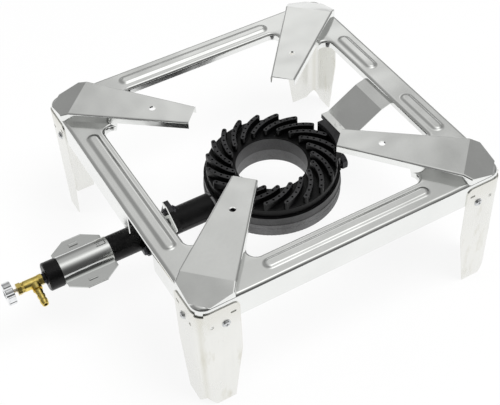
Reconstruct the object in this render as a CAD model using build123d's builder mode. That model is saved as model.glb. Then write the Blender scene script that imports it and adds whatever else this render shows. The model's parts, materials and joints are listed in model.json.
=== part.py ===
from build123d import *
import os
from math import cos, radians, sin

# Stock pot range: a pressed 400 mm square top on four angle legs, with a cast ring
# burner hung below it and a brass gas valve on the end of the mixing tube.
# Millimetres, +Z up.  The origin is on the floor under the middle of the square.
# The mixing tube leaves along -X; the rear tongue that carries the burner is at +X.

os.makedirs("parts", exist_ok=True)

# --- pressed top ---
side = 400.0              # outer side of the square
half = side / 2
sheet = 1.2               # stainless sheet of the top and the legs
shoulder_z = 172.0        # top of the rails above the floor
skirt_h = 33.0
corner_r = 16.0
shoulder_r = 5.0
rail_w = 36.0
lip_drop = 10.0           # inner edge turned down
lip_bend = 4.0            # outside radius of that bend
opening = half - rail_w   # half width of the square opening
bead_line = half - 20.0   # middle of the pressed beads from the centre
bead_w, bead_h, bead_slope = 16.0, 2.2, 60.0
bead_soft = 5.0           # radius at the foot and the crest of a bead
bead_half = half - 92.0   # half length of a full bead
bead_gap = 31.0           # half gap in the rear bead, over the tongue

# --- raised pot arms, along the diagonals ---
arm_rise = 11.8
arm_top_z = shoulder_z + arm_rise
arm_tip_r = 90.7          # distance of the free end from the centre
arm_tip_w = 31.0
corner_reach = Vector(half, half).length   # square corner from the centre
arm_crease_r = corner_reach - 43.3         # where the top bends down to the corner
arm_crease_w = 64.0
arm_foot_r = corner_reach - 11.8
arm_edge_r = 2.4
arm_wall = 9.8            # depth of the side walls over the opening
arm_hole_d = 8.0
arm_hole_xy = 100.0

# --- rear tongue, and the front tab, a hook that takes the ear of the tube ---
tongue_w = 57.0
tongue_bend_x, tongue_bend_z = opening - 13.0, shoulder_z - 13.2
tongue_low_x, tongue_low_z = 109.4, shoulder_z - 38.6
tongue_end_x = tongue_low_x - 9.4
tab_x, tab_floor_z = -142.6, shoulder_z - 60.0
tab_y_near, tab_y_far = -1.0, -36.0
skirt_cut_a, skirt_cut_b, skirt_cut_z = -98.0, -33.0, shoulder_z - 3.6

# --- legs ---
leg_w = 53.2              # width of each face
leg_top_z = shoulder_z - 8.0
leg_lobe_r = 8.0
leg_kink_z = 84.0
leg_foot_in = half - 38.0    # foot runs from here ...
leg_relief_w = 14.0
leg_foot_out = half - leg_relief_w   # ... to here, measured from the centre
leg_relief_z = 17.0
corner_slack = 1.5        # legs are bent a little sharper than the skirt
skirt_ear_w, skirt_ear_z = 22.0, 130.0
leg_screw_u, leg_screw_z = half - 33.0, 137.0
leg_hole_u, leg_hole_z, leg_hole_d = half - 16.0, 140.0, 4.5
leg_slot_u, leg_slot_z, leg_slot_l, leg_slot_w = half - 42.5, 151.0, 7.0, 3.0

# --- cast burner ---
burner_x = 8.0
ring_z = shoulder_z - 77.0        # outer parting line between crown and body
ring_in_z = ring_z + 3.3          # inner parting line
body_base_z = shoulder_z - 94.3
deck_z = shoulder_z - 54.0
ridge_top_z = shoulder_z - 44.6
crown_step_z = shoulder_z - 65.6
crown_r = 81.7
crown_rim_r = 85.3
body_r = 86.2
hole_top_r, hole_base_r = 44.7, 46.7
cast_wall = 5.0
deck_wall = 5.0
ridge_count = 20
ridge_w = 6.0
ridge_in_r, ridge_out_r = 51.5, 79.0
ridge_sweep = 31.0                # turn from the inner end to the outer end
ridge_first = 18.4                # angle of the first ridge's outer end
port_d = 2.8
ports_per_ridge = 6
post_r, post_at_r, post_count, post_turn = 6.5, 65.5, 3, 60.0
crown_screw_in = 12.0
cast_gap = 0.4            # between the crown's rim and the castings around it

# --- lug under the rear tongue ---
lug_top_z = tongue_low_z - sheet / 2
lug_half, lug_far_x, lug_plate = 28.0, tongue_end_x + 11.0, 5.0
lug_neck_x, lug_side_y = tongue_end_x - 1.0, 19.4   # the plate is wide only beyond this x
block_half, block_far_x, block_low_z = 28.0, 98.0, shoulder_z - 88.0
block_pocket_w, block_pocket_l = 20.0, 4.0
stud_x = tongue_end_x + 5.2
plug_seat_x, plug_y, plug_z, plug_af = 93.5, -23.2, shoulder_z - 77.5, 18.0
plug_head, plug_in = 7.5, 1.5

# --- mixing tube, flange joint, air windows ---
pipe_z = shoulder_z - 82.0
tube_r = 16.5
bore_r = 12.0
throat_w, throat_a, throat_b = 20.0, shoulder_z - 91.0, shoulder_z - 79.0
neck_x, throat_l = -92.0, 24.0    # round bore ends here, a flat throat goes on
flange_x = -174.0                 # joint face of the cast flange
flange_t = 5.0
gasket_t = 1.0
flange_bolt_y = 24.0              # each bolt from the tube's axis
flange_hub_r, flange_lug_r = 20.0, 8.0
ear_t = 6.0
ear_x = tab_x + sheet / 2
ear_top_z = shoulder_z - 41.0
ear_slope_y, ear_low_z = -10.0, shoulder_z - 57.0   # its top slopes down from here to there
ear_bolt_y, ear_bolt_z = -9.0, shoulder_z - 50.0
head_x = -282.0                   # the thick end of the mixing tube starts here
end_x = -299.0
head_r = 17.5
end_web = 4.0
window_a, window_b = -277.0, -259.0
window_w = 15.0

# --- air shutter ---
shutter_a, shutter_b = -281.0, -218.0
shutter_t = 0.9
shutter_gap = 0.08                # running clearance on the tube
shutter_w = 40.5                  # half width across the flat flanges
shutter_corner_w, shutter_corner_l = 27.5, 19.0
clip_y, clip_x, clip_l = 31.5, -251.5, 11.0
clip_fold = 4.0
spring_x, spring_l, spring_w = -227.0, 12.0, 7.0

# --- jet, valve and knob ---
holder_r, holder_a = 6.2, -303.0
spigot_r, spigot_in = 4.6, 8.0    # holder through the tube's end
socket_r, socket_l = 3.6, 4.0     # holder in the valve
jet_af, jet_l, jet_hole_r = 7.0, 5.0, 0.6
gas_r = 1.6
valve_r, valve_af, valve_hex_x = 6.6, 12.5, -308.0
valve_neck_x, valve_neck_r, valve_end_x = -326.0, 4.6, -330.0
chamber_r, chamber_x = 3.4, -310.0
gland_x, gland_af, gland_hex_l, gland_r = -334.5, 13.0, 5.0, 5.7
packing_t = 2.0
barb_x, barb_dip = -313.2, 8.0    # hose barb along -Y, dipping by this angle
barb_root, barb_tip, barb_r = 9.0, 34.0, 4.65
barb_bore_r, barb_screw_r, barb_screw_in = 2.4, 4.0, 2.6
barb_count, barb_land = 3, 2.0
spindle_r, spindle_fit = 2.1, 0.05
collar_a, collar_b = -325.0, -322.0
knob_a, knob_b, knob_r = -349.4, -339.4, 14.2
knob_web = 4.0                    # front wall of the knob, held by its screw

# --- fasteners: one clearance for every bolted hole ---
bolt_gap = 0.25
thread_gap = 0.03
m3_r, m4_r, m5_r, m6_r, m12_r = 1.5, 2.0, 2.5, 3.0, 6.0

ring_section = Plane(origin=(burner_x, 0, 0), x_dir=(1, 0, 0), z_dir=(0, -1, 0))
ring_axis = Axis((burner_x, 0, 0), (0, 0, 1))


def face_x(x, y=0.0, z=pipe_z):
    """Sketch plane facing +X at x; sketch X runs along world Y, sketch Y along Z."""
    return Plane(origin=(x, y, z), x_dir=(0, 1, 0), z_dir=(1, 0, 0))


def rod(x_from, x_to, radius):
    """Round bar on the pipe axis, to be added to or cut from a part."""
    return Solid.make_cylinder(radius, abs(x_to - x_from), face_x(min(x_from, x_to)))


def hex_bolt(shank_r, af, head_h, length):
    """Hex bolt, head above the XY plane with its corners turned off, shank below."""
    with BuildPart() as bolt:
        with BuildSketch():
            RegularPolygon(af / 2, 6, major_radius=False)
        extrude(amount=head_h)
        with BuildSketch(Plane.XZ):
            Polygon((0, 0), (af, 0), (af / 2 * 1.17, head_h - 0.8), (af / 2 * 0.98, head_h),
                    (0, head_h), align=None)
        revolve(axis=Axis.Z, mode=Mode.INTERSECT)
        with BuildSketch():
            Circle(shank_r)
        extrude(amount=-length)
        chamfer(bolt.faces().sort_by(Axis.Z)[0].edges(), shank_r * 0.2)
    return bolt.part


def pan_screw(shank_r, length):
    """Cross-recess pan head above the XY plane, shank below."""
    with BuildPart() as screw:
        with BuildSketch():
            Circle(shank_r * 2)
        extrude(amount=shank_r * 1.2)
        fillet(screw.edges().sort_by(Axis.Z)[-1], shank_r * 0.7)
        with BuildSketch(Plane.XY.offset(shank_r * 1.2)):
            Rectangle(shank_r * 2, shank_r * 0.4)
            Rectangle(shank_r * 0.4, shank_r * 2)
        extrude(amount=-shank_r * 0.8, mode=Mode.SUBTRACT)
        with BuildSketch():
            Circle(shank_r)
        extrude(amount=-length)
    return screw.part


def hex_nut(hole_r, af, height):
    """Nut standing on the XY plane."""
    with BuildPart() as nut:
        with BuildSketch():
            RegularPolygon(af / 2, 6, major_radius=False)
            Circle(hole_r, mode=Mode.SUBTRACT)
        extrude(amount=height)
    return nut.part


# ---------------------------------------------------------------- pressed top
def arm_block(inset, base_z, tip_r):
    """Arm along +X, tapered in plan and bent down to the corner; inset for the hollow."""
    grow = (arm_crease_w - arm_tip_w) / (arm_crease_r - arm_tip_r) / 2
    near = arm_tip_w / 2 - grow * (arm_tip_r - tip_r) - inset
    far_r = arm_foot_r + 8
    far = arm_tip_w / 2 + grow * (far_r - arm_tip_r) - inset
    with BuildPart() as block:
        with BuildSketch(Plane.XY.offset(base_z)):
            with BuildLine():
                Polyline((tip_r, -near), (far_r, -far), (far_r, far), (tip_r, near), close=True)
            make_face()
        extrude(amount=arm_top_z - base_z + 5)
        with BuildSketch(Plane.XZ):
            with BuildLine():
                Polyline((tip_r - 1, base_z - 1), (tip_r - 1, arm_top_z - inset),
                         (arm_crease_r - inset * 0.2, arm_top_z - inset),
                         (arm_foot_r - inset * 2.4, shoulder_z - inset * 0.2),
                         (arm_foot_r - inset * 2.4, base_z - 1), close=True)
            make_face()
        extrude(amount=80, both=True, mode=Mode.INTERSECT)
        if inset == 0:
            top = [e for e in block.edges() if e.center().Z > shoulder_z + 3
                   and abs(e.center().Y) > arm_tip_w / 2 - 3 and e.length > 20]
            fillet(top, arm_edge_r)
    return block.part


arm_outer = arm_block(0, shoulder_z - sheet, arm_tip_r)
arm_hollow = arm_block(sheet, shoulder_z - skirt_h, arm_tip_r - 3)

with BuildPart() as top_frame:
    # rails and skirt as one hollow pressing, open below
    with BuildSketch(Plane.XY.offset(shoulder_z - skirt_h)):
        RectangleRounded(side, side, corner_r)
    extrude(amount=skirt_h)
    fillet(top_frame.faces().sort_by(Axis.Z)[-1].edges(), shoulder_r)
    offset(amount=-sheet, openings=top_frame.faces().sort_by(Axis.Z)[0])
    with BuildSketch(Plane.XY.offset(shoulder_z - lip_drop)):
        Rectangle(2 * opening + 2 * sheet, 2 * opening + 2 * sheet)
    extrude(amount=lip_drop)
    with BuildSketch(Plane.XY.offset(shoulder_z - skirt_h)):
        Rectangle(2 * opening, 2 * opening)
    extrude(amount=skirt_h + 1, mode=Mode.SUBTRACT)
    for level, reach, bend in ((shoulder_z - sheet, opening + sheet, lip_bend - sheet),
                               (shoulder_z, opening, lip_bend)):
        fillet([e for e in top_frame.edges().filter_by(GeomType.LINE)
                if abs(e.center().Z - level) < 0.01
                and abs(max(abs(e.center().X), abs(e.center().Y)) - reach) < 0.01], bend)
    # pressed beads, raised above and hollow below
    for turn in range(4):
        runs = [(0, 2 * bead_half)]
        if turn == 0:
            run = bead_half - bead_gap
            runs = [((bead_half + bead_gap) / 2, run), (-(bead_half + bead_gap) / 2, run)]
        for lift, grow, depth, how in ((0, 0, bead_h, Mode.ADD),
                                       (-sheet, -sheet, bead_h, Mode.SUBTRACT)):
            with BuildSketch(Plane.XY.offset(shoulder_z + lift)):
                for along, length in runs:
                    with Locations(Rot(0, 0, 90 * turn) * Pos(bead_line, along)):
                        SlotOverall(length + 2 * grow, bead_w + 2 * grow, rotation=90)
            extrude(amount=depth, taper=bead_slope, mode=how)
    for level in (shoulder_z + bead_h, shoulder_z):
        fillet([e for e in top_frame.edges() if abs(e.bounding_box().min.Z - level) < 0.01
                and abs(e.bounding_box().max.Z - level) < 0.01
                and abs(max(abs(e.center().X), abs(e.center().Y)) - bead_line) < bead_w * 0.7
                and min(abs(e.center().X), abs(e.center().Y)) < bead_half + 1], bead_soft)
    # arms over the four corners, kept inside the outline of the square
    with BuildPart(mode=Mode.PRIVATE) as arms:
        for turn in range(4):
            add(arm_outer, rotation=(0, 0, 45 + 90 * turn))
        with BuildSketch(Plane.XY.offset(shoulder_z - skirt_h)):
            RectangleRounded(side, side, corner_r)
        extrude(amount=skirt_h + arm_rise + 2, mode=Mode.INTERSECT)
    add(arms.part)
    with BuildPart(mode=Mode.PRIVATE) as hollows:
        for turn in range(4):
            add(arm_hollow, rotation=(0, 0, 45 + 90 * turn))
        with BuildSketch(Plane.XY.offset(shoulder_z - skirt_h)):
            RectangleRounded(side - 2 * sheet, side - 2 * sheet, corner_r - sheet)
        extrude(amount=skirt_h + arm_rise + 2, mode=Mode.INTERSECT)
    add(hollows.part, mode=Mode.SUBTRACT)
    # side walls of the arms stop short over the opening
    with BuildSketch(Plane.XY.offset(shoulder_z - skirt_h)):
        Rectangle(2 * opening - 7, 2 * opening - 7)
    extrude(amount=skirt_h + arm_rise - arm_wall, mode=Mode.SUBTRACT)
    # rear tongue: slopes down to the burner and ends in a flat foot
    with BuildSketch(Plane.XZ):
        with BuildLine():
            Polyline((opening + 0.5 * sheet, shoulder_z - lip_drop + 1),
                     (tongue_bend_x, tongue_bend_z), (tongue_low_x, tongue_low_z),
                     (tongue_end_x, tongue_low_z))
            offset(amount=sheet / 2, side=Side.BOTH)
        make_face()
    extrude(amount=tongue_w / 2, both=True)
    # front tab: down from the inner edge, in under the tube's ear and up beside it
    with BuildSketch(Plane.XZ.offset(-tab_y_near)):
        with BuildLine():
            Polyline((-opening - 0.5 * sheet, shoulder_z - lip_drop + 1),
                     (-opening - 0.5 * sheet, tab_floor_z), (tab_x, tab_floor_z), (tab_x, ear_top_z))
            offset(amount=sheet / 2, side=Side.BOTH)
        make_face()
    extrude(amount=tab_y_near - tab_y_far)
    with BuildSketch(face_x(tab_x - sheet, 0, 0)):
        Polygon((ear_slope_y, ear_top_z), (tab_y_far - 1, ear_low_z), (tab_y_far - 1, shoulder_z),
                (ear_slope_y, shoulder_z), align=None)
    extrude(amount=2 * sheet, mode=Mode.SUBTRACT)
    # opening in the skirt over the tube joint
    with BuildSketch(face_x(-half - 5, 0, 0)):
        with Locations(((skirt_cut_a + skirt_cut_b) / 2, shoulder_z - skirt_h)):
            RectangleRounded(skirt_cut_b - skirt_cut_a, 2 * (skirt_cut_z - shoulder_z + skirt_h), 6)
    extrude(amount=10, mode=Mode.SUBTRACT)
    # ears of the skirt behind the legs, where the leg screws go
    for turn in range(4):
        for along in (leg_screw_u, -leg_screw_u):
            wall = Plane(Rot(0, 0, 90 * turn) * Pos(along, -half + sheet / 2, 0) * Rot(90, 0, 0))
            with BuildSketch(wall):
                with Locations((0, shoulder_z - skirt_h)):
                    RectangleRounded(skirt_ear_w, 2 * (shoulder_z - skirt_h - skirt_ear_z), 4)
            extrude(amount=sheet / 2, both=True)
            with BuildSketch(wall):
                with Locations((0, leg_screw_z)):
                    Circle(m4_r + bolt_gap)
            extrude(amount=sheet, both=True, mode=Mode.SUBTRACT)
    # holes: one in each arm, the stud of the tongue, the bolt of the tab
    with BuildSketch(Plane.XY.offset(arm_top_z)):
        with GridLocations(2 * arm_hole_xy, 2 * arm_hole_xy, 2, 2):
            Circle(arm_hole_d / 2)
    extrude(amount=-2 * sheet, mode=Mode.SUBTRACT)
    with BuildSketch(face_x(tab_x, ear_bolt_y, ear_bolt_z)):
        Circle(m5_r + bolt_gap)
    extrude(amount=sheet, both=True, mode=Mode.SUBTRACT)
top_frame.part.label = "top_frame"
export_step(top_frame.part, "parts/top_frame.step")


# ---------------------------------------------------------------- legs
with BuildPart() as leg:
    # one bent angle at the +X +Y corner, standing against the skirt
    with BuildSketch():
        RectangleRounded(side + 2 * sheet, side + 2 * sheet, corner_r + sheet - corner_slack)
        RectangleRounded(side, side, corner_r - corner_slack, mode=Mode.SUBTRACT)
        with Locations((half - leg_w + 2 * sheet, half - leg_w + 2 * sheet)):
            Rectangle(2 * leg_w, 2 * leg_w, align=(Align.MIN, Align.MIN), mode=Mode.INTERSECT)
    extrude(amount=leg_top_z)
    inner = half - leg_w + 2 * sheet
    side_plane = face_x(0, 0, 0)
    for flat in (Plane.XZ, side_plane):
        with BuildSketch(flat):
            with BuildLine():
                Polyline((inner - 1, -1), (leg_foot_in, -1), (leg_foot_in, 0),
                         (inner, leg_kink_z), (inner - 1, leg_kink_z), close=True)
            make_face()
            with BuildLine():
                lobe = leg_top_z - leg_lobe_r
                Line((inner, lobe), (inner - 1, lobe))
                Line((inner - 1, lobe), (inner - 1, leg_top_z + 1))
                Line((inner - 1, leg_top_z + 1), (inner + leg_lobe_r, leg_top_z + 1))
                Line((inner + leg_lobe_r, leg_top_z + 1), (inner + leg_lobe_r, leg_top_z))
                RadiusArc((inner + leg_lobe_r, leg_top_z), (inner, lobe), -leg_lobe_r)
            make_face()
            with Locations((leg_screw_u, leg_screw_z)):
                Circle(m4_r + bolt_gap)
            with Locations((leg_hole_u, leg_hole_z)):
                Circle(leg_hole_d / 2)
            with Locations((leg_slot_u, leg_slot_z)):
                SlotOverall(leg_slot_l, leg_slot_w)
        extrude(amount=2 * half, both=True, mode=Mode.SUBTRACT)
    # the fold is cut off slantwise between the two feet, and notched at its top
    with BuildPart(mode=Mode.SUBTRACT):
        for flat, how in ((Plane.XZ, Mode.ADD), (side_plane, Mode.INTERSECT)):
            with BuildSketch(flat):
                Polygon((leg_foot_out, -1), (leg_foot_out, 0), (half, leg_relief_z),
                        (half + 5, leg_relief_z), (half + 5, -1), align=None)
            extrude(amount=2 * half, both=True, mode=how)
    with Locations((half - 8, half - 8, leg_top_z - 4)):
        Box(40, 40, 40, align=(Align.MIN, Align.MIN, Align.MIN), mode=Mode.SUBTRACT)

for name, turn in (("leg_rear", 0), ("leg_left", 90), ("leg_front", 180), ("leg_right", 270)):
    one = leg.part.rotate(Axis.Z, turn)
    one.label = name
    export_step(one, "parts/" + name + ".step")

# screws through leg and skirt ear from outside, nuts inside
screw_places = [Rot(0, 0, 90 * turn) * Pos(u, -half - sheet, leg_screw_z) * Rot(90, 0, 0)
                for turn in range(4) for u in (leg_screw_u, -leg_screw_u)]
nut_places = [Rot(0, 0, 90 * turn) * Pos(u, -half + sheet, leg_screw_z) * Rot(-90, 0, 0)
              for turn in range(4) for u in (leg_screw_u, -leg_screw_u)]
with BuildPart() as leg_screws:
    for place in screw_places:
        add(place * pan_screw(m4_r, 2 * sheet + 4.5))
leg_screws.part.label = "leg_screws"
export_step(leg_screws.part, "parts/leg_screws.step")
with BuildPart() as leg_nuts:
    for place in nut_places:
        add(place * hex_nut(m4_r + thread_gap, 7.0, 3.2))
leg_nuts.part.label = "leg_nuts"
export_step(leg_nuts.part, "parts/leg_nuts.step")


# ---------------------------------------------------------------- burner crown
def on_ridge(turn, t):
    """Point on a curved ridge: t runs from 0 at its inner end to 1 at its outer end."""
    r = ridge_in_r + (ridge_out_r - ridge_in_r) * t
    a = radians(turn + ridge_sweep * (1 - t))
    return (burner_x + r * cos(a), r * sin(a))


ridge_turns = [ridge_first + 360 / ridge_count * k for k in range(ridge_count)]

with BuildPart() as burner_crown:
    with BuildSketch(ring_section):
        Polygon((hole_top_r, ring_in_z), (hole_top_r, deck_z), (crown_r, deck_z),
                (crown_r, crown_step_z), (crown_rim_r, crown_step_z), (crown_rim_r, ring_z),
                (crown_rim_r - cast_wall, ring_z), (crown_rim_r - cast_wall, deck_z - deck_wall),
                (hole_top_r + cast_wall, deck_z - deck_wall), (hole_top_r + cast_wall, ring_in_z),
                align=None)
    revolve(axis=ring_axis)
    rims = burner_crown.edges().filter_by(GeomType.CIRCLE)
    fillet(rims.filter_by(lambda e: abs(e.arc_center.Z - deck_z) < 0.01), 1.5)
    # spiral ridges that carry the flame ports
    with BuildSketch(Plane.XY.offset(deck_z - 1)):
        for turn in ridge_turns:
            with BuildLine():
                ThreePointArc(on_ridge(turn, 0), on_ridge(turn, 0.5), on_ridge(turn, 1))
                offset(amount=ridge_w / 2, side=Side.BOTH)
            make_face()
    extrude(amount=ridge_top_z - deck_z + 1)
    tops = burner_crown.faces().filter_by(lambda f: abs(f.center().Z - ridge_top_z) < 0.01)
    fillet(tops.edges(), 0.9)
    # flame ports down through every ridge into the gas ring
    with BuildSketch(Plane.XY.offset(ridge_top_z)):
        for turn in ridge_turns:
            with Locations(*[on_ridge(turn, 0.03 + 0.94 * k / (ports_per_ridge - 1))
                             for k in range(ports_per_ridge)]):
                Circle(port_d / 2)
    extrude(amount=deck_z - deck_wall - ridge_top_z - 1, mode=Mode.SUBTRACT)
    # posts inside, drilled for the screws that hold the crown down
    with BuildSketch(Plane.XY.offset(ring_z)):
        with Locations((burner_x, 0)):
            with PolarLocations(post_at_r, post_count, start_angle=post_turn):
                Circle(post_r)
    extrude(amount=deck_z - deck_wall - ring_z + 0.5)
    with BuildSketch(Plane.XY.offset(ring_z)):
        with Locations((burner_x, 0)):
            with PolarLocations(post_at_r, post_count, start_angle=post_turn):
                Circle(m5_r + thread_gap)
    extrude(amount=crown_screw_in, mode=Mode.SUBTRACT)
burner_crown.part.label = "burner_crown"
export_step(burner_crown.part, "parts/burner_crown.step")


# ---------------------------------------------------------------- burner body
def oval_flange(x, thick, inset=0.0):
    """Flange plate with two bolt lugs beside the tube; inset makes it smaller all round."""
    with BuildPart() as flange:
        with BuildSketch(face_x(x)):
            Circle(flange_hub_r - inset)
            with Locations((flange_bolt_y, 0), (-flange_bolt_y, 0)):
                Circle(flange_lug_r - inset)
            make_hull()
            with Locations((flange_bolt_y, 0), (-flange_bolt_y, 0)):
                Circle(m6_r + bolt_gap, mode=Mode.SUBTRACT)
            Circle(bore_r, mode=Mode.SUBTRACT)
        extrude(amount=thick)
    return flange.part


with BuildPart() as burner_body:
    # gas ring, open above
    with BuildSketch(ring_section):
        Polygon((hole_base_r, body_base_z), (body_r, body_base_z), (body_r, ring_z),
                (body_r - cast_wall, ring_z), (body_r - cast_wall, body_base_z + cast_wall),
                (hole_base_r + cast_wall, body_base_z + cast_wall),
                (hole_top_r + cast_wall, ring_in_z), (hole_top_r, ring_in_z), align=None)
    revolve(axis=ring_axis)
    rims = burner_body.edges().filter_by(GeomType.CIRCLE)
    fillet(rims.filter_by(lambda e: abs(e.arc_center.Z - body_base_z) < 0.01), 1.5)
    # seats under the crown's posts
    with BuildSketch(Plane.XY.offset(body_base_z)):
        with Locations((burner_x, 0)):
            with PolarLocations(post_at_r, post_count, start_angle=post_turn):
                Circle(post_r)
    extrude(amount=ring_z - body_base_z)
    with BuildSketch(Plane.XY.offset(body_base_z)):
        with Locations((burner_x, 0)):
            with PolarLocations(post_at_r, post_count, start_angle=post_turn):
                Circle(m5_r + bolt_gap)
    extrude(amount=ring_z - body_base_z, mode=Mode.SUBTRACT)
    # mixing tube up to its flange, clear of the gas ring's inside and of the crown
    with BuildPart(mode=Mode.PRIVATE) as neck:
        add(rod(flange_x, burner_x - body_r + cast_wall, tube_r))
        with BuildSketch(Plane.XY.offset(body_base_z + cast_wall)):
            with Locations((burner_x, 0)):
                Circle(body_r - cast_wall)
        extrude(amount=40, mode=Mode.SUBTRACT)
        with BuildSketch(Plane.XY.offset(ring_z)):
            with Locations((burner_x, 0)):
                Circle(crown_rim_r + cast_gap)
        extrude(amount=40, mode=Mode.SUBTRACT)
    add(neck.part)
    add(rod(flange_x, neck_x, bore_r), mode=Mode.SUBTRACT)
    with BuildSketch(face_x(neck_x - 1)):
        with Locations((0, (throat_a + throat_b) / 2 - pipe_z)):
            RectangleRounded(throat_w, throat_b - throat_a, 4)
    extrude(amount=throat_l, mode=Mode.SUBTRACT)
    # oval flange with its two bolt lugs
    add(oval_flange(flange_x, flange_t))
    # ear on top of the tube, bolted to the front tab
    with BuildSketch(face_x(ear_x, 0, 0)):
        Polygon((tube_r - 3, pipe_z + 6), (tab_y_near, ear_top_z), (ear_slope_y, ear_top_z),
                (tab_y_far, ear_low_z + 0.6), (tab_y_far, ear_low_z - 6), (3 - tube_r, pipe_z - 6),
                align=None)
        with Locations((0, pipe_z)):
            Circle(bore_r + 1, mode=Mode.SUBTRACT)
        with Locations((ear_bolt_y, ear_bolt_z)):
            Circle(m5_r + bolt_gap, mode=Mode.SUBTRACT)
    extrude(amount=ear_t)
    # lug under the rear tongue: a block round the crown with a plate on top
    with BuildPart(mode=Mode.PRIVATE) as lug:
        with BuildSketch(Plane.XY.offset(block_low_z)):
            seat_y = plug_y + plug_af * 0.6
            Polygon((burner_x, -block_half), (plug_seat_x, -block_half), (plug_seat_x, seat_y),
                    (block_far_x, seat_y), (block_far_x, lug_side_y), (burner_x, lug_side_y),
                    align=None)
        extrude(amount=lug_top_z - block_low_z)
        fillet(lug.edges().filter_by(Axis.Z).group_by(Axis.X)[-1], 2.5)
        with BuildSketch(Plane.XY.offset(lug_top_z - lug_plate)):
            Polygon((burner_x, -lug_half), (lug_far_x, -lug_half), (lug_far_x, lug_half),
                    (lug_neck_x, lug_half), (lug_neck_x, lug_side_y), (burner_x, lug_side_y),
                    align=None)
        extrude(amount=lug_plate)
        fillet(lug.edges().filter_by(Axis.Z).group_by(Axis.X)[-1], 4.0)
        for low, high, clear_r in ((ring_z, crown_step_z + cast_gap, crown_rim_r + cast_gap),
                                   (ring_z, lug_top_z + 1, crown_r + cast_gap),
                                   (block_low_z, ring_z, body_r - 1)):
            with BuildSketch(Plane.XY.offset(low)):
                with Locations((burner_x, 0)):
                    Circle(clear_r)
            extrude(amount=high - low, mode=Mode.SUBTRACT)
        with BuildSketch(Plane.XY.offset(lug_top_z)):
            with Locations((stud_x, 0)):
                Circle(m5_r + bolt_gap)
        extrude(amount=-lug_plate, mode=Mode.SUBTRACT)
        # hollow at the back, open below, and the plug's hole beside it
        with BuildSketch(Plane.XY.offset(block_low_z - 1)):
            with Locations((block_far_x, 0)):
                RectangleRounded(2 * block_pocket_l, block_pocket_w, 3)
        extrude(amount=lug_top_z - lug_plate - block_low_z + 1, mode=Mode.SUBTRACT)
        with BuildSketch(face_x(plug_seat_x, plug_y, plug_z)):
            Circle(m12_r + thread_gap)
        extrude(amount=-plug_in - bolt_gap, mode=Mode.SUBTRACT)
    add(lug.part)
burner_body.part.label = "burner_body"
export_step(burner_body.part, "parts/burner_body.step")

# screws that draw the crown down onto the body, from below
with BuildPart() as crown_screws:
    with Locations((burner_x, 0, body_base_z)):
        with PolarLocations(post_at_r, post_count, start_angle=post_turn):
            add(Rot(180, 0, 0) * hex_bolt(m5_r, 8.0, 3.5, ring_z - body_base_z + crown_screw_in - 1))
crown_screws.part.label = "crown_screws"
export_step(crown_screws.part, "parts/crown_screws.step")


# ---------------------------------------------------------------- hanging the burner
# stud under the tongue's end, and the nut below the lug
with BuildPart() as tongue_stud:
    with BuildSketch(Plane.XY.offset(lug_top_z)):
        with Locations((stud_x, 0)):
            Circle(m5_r)
    extrude(amount=-(lug_plate + 9))
    chamfer(tongue_stud.faces().sort_by(Axis.Z)[0].edges(), 0.6)
tongue_stud.part.label = "tongue_stud"
export_step(tongue_stud.part, "parts/tongue_stud.step")

with BuildPart() as tongue_nut:
    add(Pos(stud_x, 0, lug_top_z - lug_plate) * Rot(180, 0, 0) * hex_nut(m5_r + thread_gap, 8.0, 4.0))
tongue_nut.part.label = "tongue_nut"
export_step(tongue_nut.part, "parts/tongue_nut.step")

# hex plug in the back of the lug
with BuildPart() as lug_plug:
    add(Pos(plug_seat_x, plug_y, plug_z) * Rot(0, 90, 0) * hex_bolt(m12_r, plug_af, plug_head, plug_in))
lug_plug.part.label = "lug_plug"
export_step(lug_plug.part, "parts/lug_plug.step")

# bolt through the front tab and the ear of the tube
with BuildPart() as tab_bolt:
    add(Pos(ear_x - sheet, ear_bolt_y, ear_bolt_z) * Rot(0, -90, 0)
        * hex_bolt(m5_r, 8.0, 3.5, ear_t + sheet + 6))
tab_bolt.part.label = "tab_bolt"
export_step(tab_bolt.part, "parts/tab_bolt.step")

with BuildPart() as tab_nut:
    add(Pos(ear_x + ear_t, ear_bolt_y, ear_bolt_z) * Rot(0, 90, 0) * hex_nut(m5_r + thread_gap, 8.0, 4.0))
tab_nut.part.label = "tab_nut"
export_step(tab_nut.part, "parts/tab_nut.step")


# ---------------------------------------------------------------- mixing tube
outer_flange_x = flange_x - gasket_t

with BuildPart() as mixer_tube:
    add(rod(outer_flange_x, head_x, tube_r))
    add(rod(head_x, end_x, head_r))
    add(oval_flange(outer_flange_x - flange_t, flange_t))
    add(rod(outer_flange_x, end_x + end_web, bore_r), mode=Mode.SUBTRACT)
    chamfer(mixer_tube.edges().filter_by(GeomType.CIRCLE).group_by(Axis.X)[0], 1.2)
    # two air windows, above and below
    with BuildSketch(Plane.XY.offset(pipe_z - tube_r - 1)):
        with Locations(((window_a + window_b) / 2, 0)):
            RectangleRounded(window_b - window_a, window_w, 3)
    extrude(amount=2 * tube_r + 2, mode=Mode.SUBTRACT)
    # hole for the jet holder
    add(rod(end_x - 1, end_x + end_web + 1, spigot_r + bolt_gap), mode=Mode.SUBTRACT)
mixer_tube.part.label = "mixer_tube"
export_step(mixer_tube.part, "parts/mixer_tube.step")

with BuildPart() as flange_gasket:
    add(oval_flange(outer_flange_x, gasket_t, 0.6))
flange_gasket.part.label = "flange_gasket"
export_step(flange_gasket.part, "parts/flange_gasket.step")

with BuildPart() as flange_bolts:
    for y in (flange_bolt_y, -flange_bolt_y):
        add(Pos(outer_flange_x - flange_t, y, pipe_z) * Rot(0, -90, 0)
            * hex_bolt(m6_r, 10.0, 4.0, 2 * flange_t + gasket_t + 8))
flange_bolts.part.label = "flange_bolts"
export_step(flange_bolts.part, "parts/flange_bolts.step")

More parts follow.
